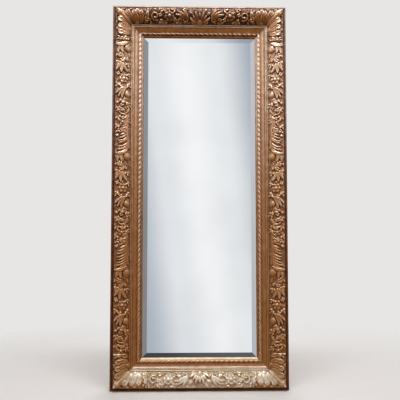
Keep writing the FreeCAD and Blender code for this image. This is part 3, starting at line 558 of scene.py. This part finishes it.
def fanOut(sheet, foot, tips, width, rise, bow=0.1):  # blades from one foot to several tips
    for index, tip in enumerate(tips):
        line = bowed(foot, tip, bow)
        halves = width / 2 * np.sin(np.pi * (0.08 + 0.86 * shares) ** 1.2) ** 0.7
        stroke(sheet, line, halves, rise * (0.55 + 0.45 * shares), lift=1.2 + 0.4 * index,
               flutes=0.5, groove=0.2, vein=carving["vein"])


def rosette(sheet, centre, radius, petals, rise, turn=0.0):
    # a ring of creased round petals about a large round bud
    for petal in range(petals):
        heading = turn + 360 * petal / petals
        start = np.asarray(centre) + radius * 0.2 * turned(heading)
        blade(sheet, start, heading, radius * 0.8, radius * 0.92, rise * 0.7, lift=0.8, groove=0.3,
              fullness=1.7)
    dome(sheet, centre, radius * 0.42, rise * 0.8, lift=1.8)


def volute(sheet, centre, radius, start, hand, rise, turns=1.1):
    # a thick spiral ridge that thins and climbs towards its round eye
    swing = np.linspace(0, 1, 60)
    angle = math.radians(start) + hand * 2 * math.pi * turns * swing
    reach = radius * (1 - 0.66 * swing ** 0.9)
    line = np.asarray(centre) + np.stack((reach * np.sin(angle), reach * np.cos(angle)), -1)
    stroke(sheet, line, radius * (0.30 - 0.08 * swing), rise * (0.62 + 0.38 * swing), lift=0.6,
           flutes=0.5, groove=0.35)
    dome(sheet, line[-1], radius * 0.32, rise)


def sprig(sheet, foot, heading, length, rise):  # a small leaf of three rounded lobes
    for lean, share in ((-54, 0.70), (54, 0.70), (0, 1.0)):
        blade(sheet, foot, heading + lean, length * share, length * 0.56, rise, bow=lean / 500,
              lift=0.6 + share, fullness=1.6)


def berries(sheet, centre, radius, rise):  # four round berries close together
    for heading in (20, 110, 200, 290):
        dome(sheet, np.asarray(centre) + radius * 1.1 * turned(heading), radius, rise)


def underLeaves(sheet, spacing, drift, seed):
    # small low leaves all over the ground, pointing with the drift and away from the middle
    chance = np.random.default_rng(seed)
    low, high = sheet["along"].min(), sheet["along"].max()
    for along in np.arange(low, high + spacing, spacing):
        for arc in np.arange(14.0, bedArc - 6, spacing):
            spot = np.array([along, arc]) + chance.uniform(-0.4, 0.4, 2) * spacing
            lean = drift(along) * (34 + 22 * chance.random()) * (1 + (arc < bedArc / 2))
            blade(sheet, spot, lean, chance.uniform(18, 26), chance.uniform(11, 15),
                  chance.uniform(1.6, 2.8), bow=chance.uniform(-0.16, 0.16), lift=0.4)


def reliefSheet(along, arc, seed):
    # sanded ground a little under the level of the casts, before the leaves are laid on
    rough = np.random.default_rng(seed).normal(0.0, carving["sanding"], along.shape)
    return {"along": along, "arc": arc, "height": rough - carving["groundDepth"]}


def finishRelief(sheet, spacing, end):
    # softened carving, and its wear: proud of its surroundings is rubbed, deep is glazed
    heights = soften(sheet["height"], carving["softening"])
    rim = np.minimum(sheet["arc"], bedArc - sheet["arc"])
    toEnd = end - np.abs(sheet["along"])
    heights = heights * np.clip(rim / carving["rimFade"], 0.0, 1.0)
    heights = heights * np.clip(toEnd / carving["endFade"], 0.0, 1.0) ** 0.5
    around = soften(heights, carving["wider"] / spacing)
    close = soften(heights, carving["near"] / spacing)
    ground, perHeight, proud, crisp = carving["wear"]
    wear = ground + perHeight * heights + proud * (heights - around) + crisp * (heights - close)
    return heights, np.clip(wear, *carving["wearLimits"])


def longRepeat(sheet, fan):
    # going down: a layered leaf that ends in a curl over a smooth heart, small leaves, a bud
    # flower, a pale leaf over a second heart, a pearl, scrolls and berries
    rise = carving["rise"]
    at = lambda down, arc: np.array([fan - down, arc])
    for down, arc, heading, length in (
            (38, 62, -120, 21), (54, 30, -60, 25), (72, 60, -80, 23), (80, 18, -100, 20),
            (127, 16, -110, 17), (168, 60, -60, 21),
            (174, 18, -140, 20), (240, 44, -100, 20), (262, 17, -150, 21), (272, 62, -100, 20),
            (306, 20, -60, 21), (314, 61, -110, 21), (330, 17, -140, 18), (352, 62, -60, 20),
            (366, 38, -120, 22), (374, 64, -150, 16)):
        sprig(sheet, at(down, arc), heading, length, rise * 0.75)
    for down, arc in ((46, 46), (66, 44), (127, 60), (184, 44), (262, 42), (320, 38)):
        berries(sheet, at(down, arc), 4.6, rise * 0.7)
    layered(sheet, fan + 160, fan + 24, 12, 12, 64, 12.0, rise * 0.9, -18)
    fanOut(sheet, at(-10, 36), [at(36, 60), at(34, 42)], 17.0, rise, 0.14)
    fanOut(sheet, at(-16, 18), [at(-2, 68)], 21.0, rise * 1.3, -0.14)
    dome(sheet, at(14, 17), 17.0, rise * 0.75, 0.6)
    fanOut(sheet, at(80, 36), [at(117, 20), at(108, 66), at(121, 46)], 17.0, rise, 0.1)
    rosette(sheet, at(149, 36), 19, 6, rise)
    fanOut(sheet, at(186, 22), [at(234, 44), at(228, 57), at(214, 68)], 15.0, rise * 1.1, 0.12)
    dome(sheet, at(218, 17), 15.0, rise * 0.75, 0.6)
    sprig(sheet, at(246, 20), -20, 26, rise * 0.9)
    dome(sheet, at(254, 62), 7.0, rise * 0.8)
    volute(sheet, at(288, 42), 17, 240, 1, rise, 0.8)
    fanOut(sheet, at(300, 26), [at(276, 14), at(290, 66)], 13.0, rise * 0.8, 0.16)
    rosette(sheet, at(338, 40), 14, 5, rise * 0.9, 20.0)
    dome(sheet, at(397, 62), 7.5, rise * 0.9)


def shortRun(sheet):
    # a palmette in the middle; to each side a spreading leaf, a rosette and a C-scroll
    rise = carving["rise"]
    for hand in (-1, 1):
        at = lambda out, arc: np.array([hand * out, arc])
        for out, arc, heading, length in (
                (56, 62, 60, 20), (86, 15, 110, 19), (106, 63, 80, 20), (158, 62, 60, 21),
                (160, 16, 120, 20), (214, 60, 60, 18), (212, 16, 110, 18)):
            sprig(sheet, at(out, arc), hand * heading, length, rise * 0.75)
        berries(sheet, at(108, 22), 4.8, rise * 0.7)
        volute(sheet, at(60, 19), 13, hand * 160, -hand, rise * 0.9)
        for out in (82, 97, 148, 163):
            dome(sheet, at(out, 8), 6.5, rise * 0.5)
        berries(sheet, at(172, 42), 4.8, rise * 0.7)
        fanOut(sheet, at(52, 16), [at(104, 44), at(92, 56), at(74, 64)], 15.0, rise * 1.1,
               -hand * 0.12)
        dome(sheet, at(84, 24), 9.0, rise * 0.6, 0.6)
        rosette(sheet, at(132, 38), 21, 7, rise * 1.1)
        volute(sheet, at(194, 38), 19, hand * 200, -hand, rise)
        dome(sheet, at(176, 64), 5.5, rise * 0.7)
    palmette(sheet, 0.0, 7, 9, 80, 54, 14.0, rise * 1.1)


def cornerLeaf(sheet):
    # along is measured from the outer corner; a broad rib on the mitre ends in a curled lobe at
    # the corner, and fluted lobes beside it lean the less the further they stand from it
    rise = carving["rise"] * 1.15
    volute(sheet, (150, 24), 14, 100, -1, rise * 0.9)
    sprig(sheet, (150, 52), 20, 20, rise * 0.75)
    blade(sheet, (112, 6), -6, 58, 74.0, rise * 0.42, lift=2.0, flutes=3.0, fullness=1.1)
    for foot, lean, length in ((139, 20, 54), (122, 2, 57), (106, -14, 60), (91, -29, 66)):
        foot = np.array([foot, 6.0])
        blade(sheet, foot, lean, length * 0.86, 25.0, rise * 0.8, bow=0.08, lift=1.4, flutes=2.0,
              groove=0.35, fullness=1.1)
        for turn, share in ((-26, 0.34), (26, 0.34), (-13, 0.42), (13, 0.42), (0, 0.46)):
            blade(sheet, foot + 0.54 * length * turned(lean), lean + turn, length * share, 8.5,
                  rise, bow=0.10 * np.sign(turn), lift=1.8, groove=0.25, fullness=1.7)
    dome(sheet, (104, 8), 11.0, rise * 0.6, lift=1.2)
    ribArcs = np.linspace(3, bedArc - 5, len(shares))
    rib = np.stack((bedSection(ribArcs, 0.0)[0], ribArcs), -1)
    stroke(sheet, rib, 17.0 * np.sin(np.pi * (0.10 + 0.80 * shares ** 1.4)) ** 0.7,
           rise * (0.5 + 0.5 * shares), lift=2.2, flutes=1.0)
    dome(sheet, rib[19], 12.0, rise * 0.8, lift=3.4)


def castPiece(name, side, along, arc, heights, wear):
    # a straight length: its carved face and its back on the wood
    flip = side in ("bottom", "right")
    across, height = bedSection(arc, heights)
    face = onSide(side, along, across, height)
    across, height = bedSection(arc, 0.0, moulding["bedRadius"])
    back = onSide(side, along, across, height)
    return closedCast(name, [(face, back, flip, wear)], mitred=False)


def closedCast(name, arms, mitred):
    # carved faces with skirts down to a plain back in long strips: one arm for a straight length,
    # two mirrored arms that share their last row for a corner
    points, values, smooth, flat, count = [], [], [], [], 0
    shared = None
    skirtWear = 0.1
    for face, back, flip, wear in arms:
        rows, columns = wear.shape
        faceNumbers = np.arange(rows * columns).reshape(rows, columns) + count
        rim = np.zeros((rows, columns), bool)
        rim[:, [0, -1]] = True
        rim[[0, -1], :] = True
        backNumbers = np.full((rows, columns), -1)
        backNumbers[rim] = np.arange(rim.sum()) + count + rows * columns
        points += [face.reshape(-1, 3), back[rim]]
        values += [wear.ravel(), np.full(rim.sum(), skirtWear)]
        count += rows * columns + rim.sum()
        if shared is not None:
            faceNumbers[-1], backNumbers[-1] = shared
        shared = faceNumbers[-1].copy(), backNumbers[-1].copy()
        smooth.append(gridFaces(faceNumbers, flip))
        for column, turn in ((0, not flip), (-1, flip)):
            pair = np.stack((faceNumbers[:, column], backNumbers[:, column]), -1)
            flat.append(gridFaces(pair, turn))
        ends = [(0, flip)] if mitred else [(0, flip), (-1, not flip)]
        for row, turn in ends:
            pair = np.stack((faceNumbers[row], backNumbers[row]), -1)
            flat.append(gridFaces(pair, turn))
        middle = np.stack((backNumbers[0, 1:-1], backNumbers[-1, 1:-1]))
        flat.append(gridFaces(middle, not flip))
        for edge, inner, turn in ((0, 1, not flip), (-1, -2, flip)):
            strip = np.concatenate((backNumbers[:, edge], backNumbers[[-1, 0], inner]))
            flat.append(strip[::-1] if turn else strip)
    points, values = np.concatenate(points), np.concatenate(values)
    used = np.unique(np.concatenate([np.ravel(f) for f in (*smooth, *flat)]))
    place = np.zeros(len(points), int)
    place[used] = np.arange(len(used))
    return makePiece(name, points[used], [place[f] for f in smooth], [place[f] for f in flat],
                     ornamentGold, [name[:-len("_carved")]], values[used])


arcCount = int(round(bedArc / carving["spacing"])) + 1
arcs = np.linspace(0, bedArc, arcCount)

# long rails: one relief, cut in three casts, and the same mirrored on the right
cutsPerRail = 3
castCount = int(round(2 * carving["longHalf"] / cutsPerRail / carving["spacing"]))
longPlaces = np.linspace(-carving["longHalf"], carving["longHalf"], cutsPerRail * castCount + 1)
longSheet = reliefSheet(*np.meshgrid(longPlaces, arcs, indexing="ij"), 4)
underLeaves(longSheet, carving["underSpacing"], lambda along: -1.0, 21)
for fan in carving["fans"]:
    longRepeat(longSheet, fan)
heights, wear = finishRelief(longSheet, carving["spacing"], carving["longHalf"])
for index, name in enumerate(("lower", "middle", "upper")):
    cut = slice(index * castCount, (index + 1) * castCount + 1)
    for side in ("left", "right"):
        castPiece(f"garland_{side}_{name}_carved", side, longSheet["along"][cut],
                  longSheet["arc"][cut], heights[cut], wear[cut])
print("long garlands:", heights.shape, "heights", heights.min().round(2), heights.max().round(2))

# short rails
shortCount = int(round(2 * carving["shortHalf"] / carving["spacing"])) + 1
shortPlaces = np.linspace(-carving["shortHalf"], carving["shortHalf"], shortCount)
shortSheet = reliefSheet(*np.meshgrid(shortPlaces, arcs, indexing="ij"), 9)
underLeaves(shortSheet, carving["underSpacing"], np.sign, 22)
shortRun(shortSheet)
heights, wear = finishRelief(shortSheet, carving["spacing"], carving["shortHalf"])
for side in ("top", "bottom"):
    # painted shade on the top short rail and painted light on the bottom one, added to the
    # carving's wear
    rubbed = np.interp(shortSheet["arc"], (0, bedArc / 2, bedArc), carving["rubbed"][side])
    castPiece(f"garland_{side}_carved", side, shortSheet["along"], shortSheet["arc"], heights,
              np.clip(wear + rubbed, 0, 1))
print("short garlands:", heights.shape)

# corners: rows run from the square end to the mitre, where along equals across
cornerRows = int(round((carving["cornerLeg"] - carving["mitreMiddle"]) / carving["spacing"]))
run, arcGrid = np.meshgrid(np.linspace(0, 1, cornerRows + 1), arcs, indexing="ij")
mitreAcross = bedSection(arcGrid, 0.0)[0]
cornerSheet = reliefSheet(carving["cornerLeg"] + run * (mitreAcross - carving["cornerLeg"]),
                          arcGrid, 17)
underLeaves(cornerSheet, carving["underSpacing"], lambda along: 1.0, 23)
cornerLeaf(cornerSheet)
heights, wear = finishRelief(cornerSheet, carving["spacing"], carving["cornerLeg"])
across, height = bedSection(arcGrid, heights)
along = carving["cornerLeg"] + run * (across - carving["cornerLeg"])
backAcross, backHeight = bedSection(arcGrid, 0.0, moulding["bedRadius"])
backAlong = carving["cornerLeg"] + run * (backAcross - carving["cornerLeg"])


def cornerPoints(toRight, upwards, along, across, height, onEnd):
    ends = (along, across) if onEnd else (across, along)
    return np.stack((toRight * (moulding["halfWidth"] - ends[0]), moulding["backPlane"] - height,
                     upwards * (moulding["halfHeight"] - ends[1])), -1)


for vertical, upwards in (("top", 1), ("bottom", -1)):
    for horizontal, toRight in (("left", -1), ("right", 1)):
        arms = []
        # each arm of a corner takes its painted light and shade, blending towards the mitre
        rubbed = carving["rubbedCorner"][vertical]
        for onEnd, added in zip((True, False), rubbed):
            armWearAndLight = wear + np.interp(run, (0.6, 1.0), (added, sum(rubbed) / 2))
            arms.append((cornerPoints(toRight, upwards, along, across, height, onEnd),
                         cornerPoints(toRight, upwards, backAlong, backAcross, backHeight, onEnd),
                         (toRight * upwards < 0) == onEnd, np.clip(armWearAndLight, 0, 1)))
        closedCast(f"corner_leaf_{vertical}_{horizontal}_carved", arms, mitred=True)
print("corner leaves:", heights.shape)

rope = {
    "halfWidth": 6.4,
    "rise": 6.6,
    "pitch": 21.0,
    "lean": 1.15,  # twist over the half-round, in lobes
    "depth": 0.40,
    "steps": 11,  # across
    "perLobe": 14,
    "rubbed": {"top": -0.10, "right": 0.36, "bottom": 0.22, "left": 0.36},  # wear in its cuts, set per side as painted light and shade: darkest on the top strip
    "crown": 0.62,  # wear added on the crown of a lobe
}


def ropePiece(side):
    # a half-round whose radius swells between slanting cuts: the size of a sine of place and angle
    half = moulding["halfHeight" if side in ("left", "right") else "halfWidth"]
    length = 2 * (half - moulding["ropeCentre"])
    lobes = int(round(length / rope["pitch"]))
    share, angle = np.meshgrid(np.linspace(-1, 1, lobes * rope["perLobe"] + 1),
                               np.linspace(0, np.pi, rope["steps"]), indexing="ij")
    phase = np.pi * (share * length / 2 / rope["pitch"] + rope["lean"] * (angle / np.pi - 0.5))
    bulge = np.abs(np.sin(phase)) ** 0.6
    swell = 1 - rope["depth"] * (1 - bulge) * np.sin(angle) ** 0.5
    across = moulding["ropeCentre"] + rope["halfWidth"] * np.cos(angle)
    height = moulding["ropeSeat"] + rope["rise"] * np.sin(angle) * swell
    points = onSide(side, share * (half - across), across, height)
    rows, columns = share.shape
    numbers = np.arange(rows * columns).reshape(rows, columns)
    flip = side in ("bottom", "right")
    flat = [np.concatenate((numbers[:, 0], numbers[::-1, -1])), numbers[0][::-1], numbers[-1]]
    if not flip:
        flat = [f[::-1] for f in flat]
    # per-side painted light and shade in the cuts, with wear on the crowns of the lobes
    wear = np.clip(rope["rubbed"][side] + rope["crown"] * bulge * np.sin(angle) ** 0.35, 0, 1)
    return makePiece(f"rope_strip_{side}_carved", points.reshape(-1, 3),
                     [gridFaces(numbers, flip)], [f[None] for f in flat], ornamentGold,
                     [f"rope_strip_{side}"], wear.ravel())


for side in ("top", "right", "bottom", "left"):
    ropePiece(side)
print("rope strips: done")

# stage, light and camera
stageLook = {
    "floorColour": (0.80, 0.79, 0.775),
    "speckle": (0.70, 0.69, 0.68),
    "speckleScale": 30.0,
    "speckleShare": 0.06,
    "background": (0.80, 0.79, 0.775),
    "halfFloor": 3.0,
    "fade": (0.75, 2.2),  # the floor melts into the background between these distances
}
floorMaterial, tree, shader, place = newMaterial("paleFloor")
speckle = noise(tree, place, stageLook["speckleScale"], detail=4.0)
speckle = remap(tree, speckle, 0.3, 0.7, 0.0, stageLook["speckleShare"])
feed(tree, shader, Roughness=0.9,
     BaseColor=mix(tree, speckle, stageLook["floorColour"], stageLook["speckle"]))
flatPlace = addNode(tree, "ShaderNodeVectorMath", {0: place, 1: (1, 1, 0)}, operation="MULTIPLY")
away = addNode(tree, "ShaderNodeVectorMath", {0: flatPlace.outputs[0]}, operation="LENGTH")
gone = remap(tree, away.outputs["Value"], *stageLook["fade"], 0.0, 1.0)
clear = addNode(tree, "ShaderNodeBsdfTransparent")
blendOut = addNode(tree, "ShaderNodeMixShader",
                   {0: gone, 1: shader.outputs[0], 2: clear.outputs[0]})
tree.links.new(blendOut.outputs[0], tree.nodes["Material Output"].inputs["Surface"])
floorMesh = bpy.data.meshes.new("floor")
floorZ, far = -moulding["halfHeight"] / 1000, stageLook["halfFloor"]
floorMesh.from_pydata([(-far, -far, floorZ), (far, -far, floorZ), (far, far, floorZ),
                       (-far, far, floorZ)], [], [(0, 1, 2, 3)])
floorMesh.materials.append(floorMaterial)
floor = bpy.data.objects.new("floor", floorMesh)
bpy.context.scene.collection.objects.link(floor)
floor.visible_glossy = False  # the glass shows the studio alone

studio = {
    "slant": 0.133,  # the bright panel in front of the glass leans by this much
    "slantHeight": 0.31,  # up where the slanting band is in its middle place
    "shift": 0.0035,  # of the band to the left
    "panelWidth": 0.8,  # how much of the panel a direction to the side runs over
    "panel": [(0.00, (0.46, 0.45, 0.44)), (0.14, (0.42, 0.41, 0.40)), (0.25, (0.23, 0.22, 0.215)),
              (0.34, (0.295, 0.295, 0.30)), (0.41, (0.43, 0.47, 0.53)), (0.46, (0.80, 0.81, 0.83)),
              (0.50, (0.93, 0.93, 0.93)), (0.54, (0.84, 0.85, 0.86)), (0.60, (0.34, 0.385, 0.45)),
              (0.70, (0.56, 0.56, 0.575)), (0.80, (0.38, 0.37, 0.36)), (1.00, (0.46, 0.45, 0.44))],
    "upDown": [(0.00, 0.70), (0.27, 0.70), (0.38, 0.85), (0.42, 1.0), (0.66, 1.0), (0.78, 0.90),
               (0.90, 0.60), (1.00, 0.60)],
    "bar": [(0.25, 1.0), (0.30, 0.16), (0.345, 0.16), (0.39, 1.0)],  # low and dark before the glass
    "barReach": (0.22, 0.40),  # and gone beyond this to either side
    "cloudScale": 6.5,
    "cloudRange": (0.35, 0.62),
    "clouds": (0.94, 1.03),  # the panel is unevenly lit
    "room": [  # what the gilding reflects: warm below, bright high up
        (0.00, (0.36, 0.18, 0.05)), (0.40, (0.28, 0.14, 0.04)), (0.50, (0.05, 0.028, 0.012)),
        (0.57, (0.10, 0.080, 0.065)), (0.63, (1.45, 1.32, 1.30)), (0.69, (1.45, 1.32, 1.30)),
        (0.76, (0.14, 0.12, 0.11)), (1.00, (0.05, 0.045, 0.04))],
    "strength": 1.0,
}
world = bpy.data.worlds.new("studio")
bpy.context.scene.world = world
world.use_nodes = True
tree = world.node_tree
direction = addNode(tree, "ShaderNodeTexCoord").outputs["Generated"]
axes = addNode(tree, "ShaderNodeSeparateXYZ", {0: direction}).outputs
leaning = calc(tree, "MULTIPLY_ADD", axes[2], studio["slant"], axes[0])
offset = calc(tree, "SUBTRACT", leaning, studio["slant"] * studio["slantHeight"] - studio["shift"])
panelPlace = calc(tree, "MULTIPLY_ADD", offset, studio["panelWidth"], 0.5)
upPlace = calc(tree, "MULTIPLY_ADD", axes[2], 0.5, 0.5)  # 0 is straight down, 1 straight up
tall, bar, room = (ramp(tree, upPlace, studio[kind], "EASE") for kind in ("upDown", "bar", "room"))
aside = remap(tree, calc(tree, "ABSOLUTE", axes[0]), *studio["barReach"], 0.0, 1.0)
bar = calc(tree, "MAXIMUM", bar, aside)
clouds = noise(tree, direction, studio["cloudScale"])
clouds = remap(tree, clouds, *studio["cloudRange"], *studio["clouds"])
around = ramp(tree, panelPlace, studio["panel"], "EASE")
for shade in (tall, bar, clouds):
    around = addNode(tree, "ShaderNodeMix", {0: 1.0, 6: around, 7: shade}, data_type="RGBA",
                     blend_type="MULTIPLY").outputs[2]
rays = addNode(tree, "ShaderNodeLightPath").outputs
shown = mix(tree, rays["Is Singular Ray"], room, around)  # the glass alone shows the panel
shown = mix(tree, rays["Is Camera Ray"], shown, stageLook["background"])
tree.links.new(shown, tree.nodes["Background"].inputs["Color"])
tree.nodes["Background"].inputs["Strength"].default_value = studio["strength"]

lamps = [
    {"name": "topFront", "at": (0.0, -1.15, 2.6), "aim": (0, 0, -0.2), "size": (1.2, 0.5),
     "power": 52},
    {"name": "behind", "at": (0.4, 2.4, 1.3), "aim": (0, 0, 0), "size": (2.6, 2.0), "power": 40},
    {"name": "highLeft", "at": (-1.7, -1.3, 1.1), "aim": (0, 0, 0.2), "size": (0.8, 0.8),
     "power": 5},
    {"name": "highRight", "at": (1.7, -1.3, 1.1), "aim": (0, 0, 0.2), "size": (0.8, 0.8),
     "power": 5},
]
for lamp in lamps:
    light = bpy.data.lights.new(lamp["name"], "AREA")
    light.shape = "RECTANGLE"
    light.size, light.size_y = lamp["size"]
    light.energy = lamp["power"]
    holder = bpy.data.objects.new(lamp["name"], light)
    holder.location = lamp["at"]
    aim = Vector(lamp["aim"]) - Vector(lamp["at"])
    holder.rotation_euler = aim.to_track_quat("-Z", "Y").to_euler()
    bpy.context.scene.collection.objects.link(holder)

view = {"at": (-0.0729, -2.7026, -0.2046), "yaw": 0.028, "pitch": 0.0682, "sensor": 36.0,
        "lens": 55.8}
camera = bpy.data.cameras.new("camera")
camera.sensor_width = view["sensor"]
camera.lens = view["lens"]
cameraObject = bpy.data.objects.new("camera", camera)
cameraObject.location = view["at"]
ahead = Vector((math.sin(view["yaw"]) * math.cos(view["pitch"]),
                math.cos(view["yaw"]) * math.cos(view["pitch"]), math.sin(view["pitch"])))
cameraObject.rotation_euler = ahead.to_track_quat("-Z", "Y").to_euler()
bpy.context.scene.collection.objects.link(cameraObject)
bpy.context.scene.camera = cameraObject
bpy.context.scene.view_settings.view_transform = "Standard"
print("stage, light and camera: done")
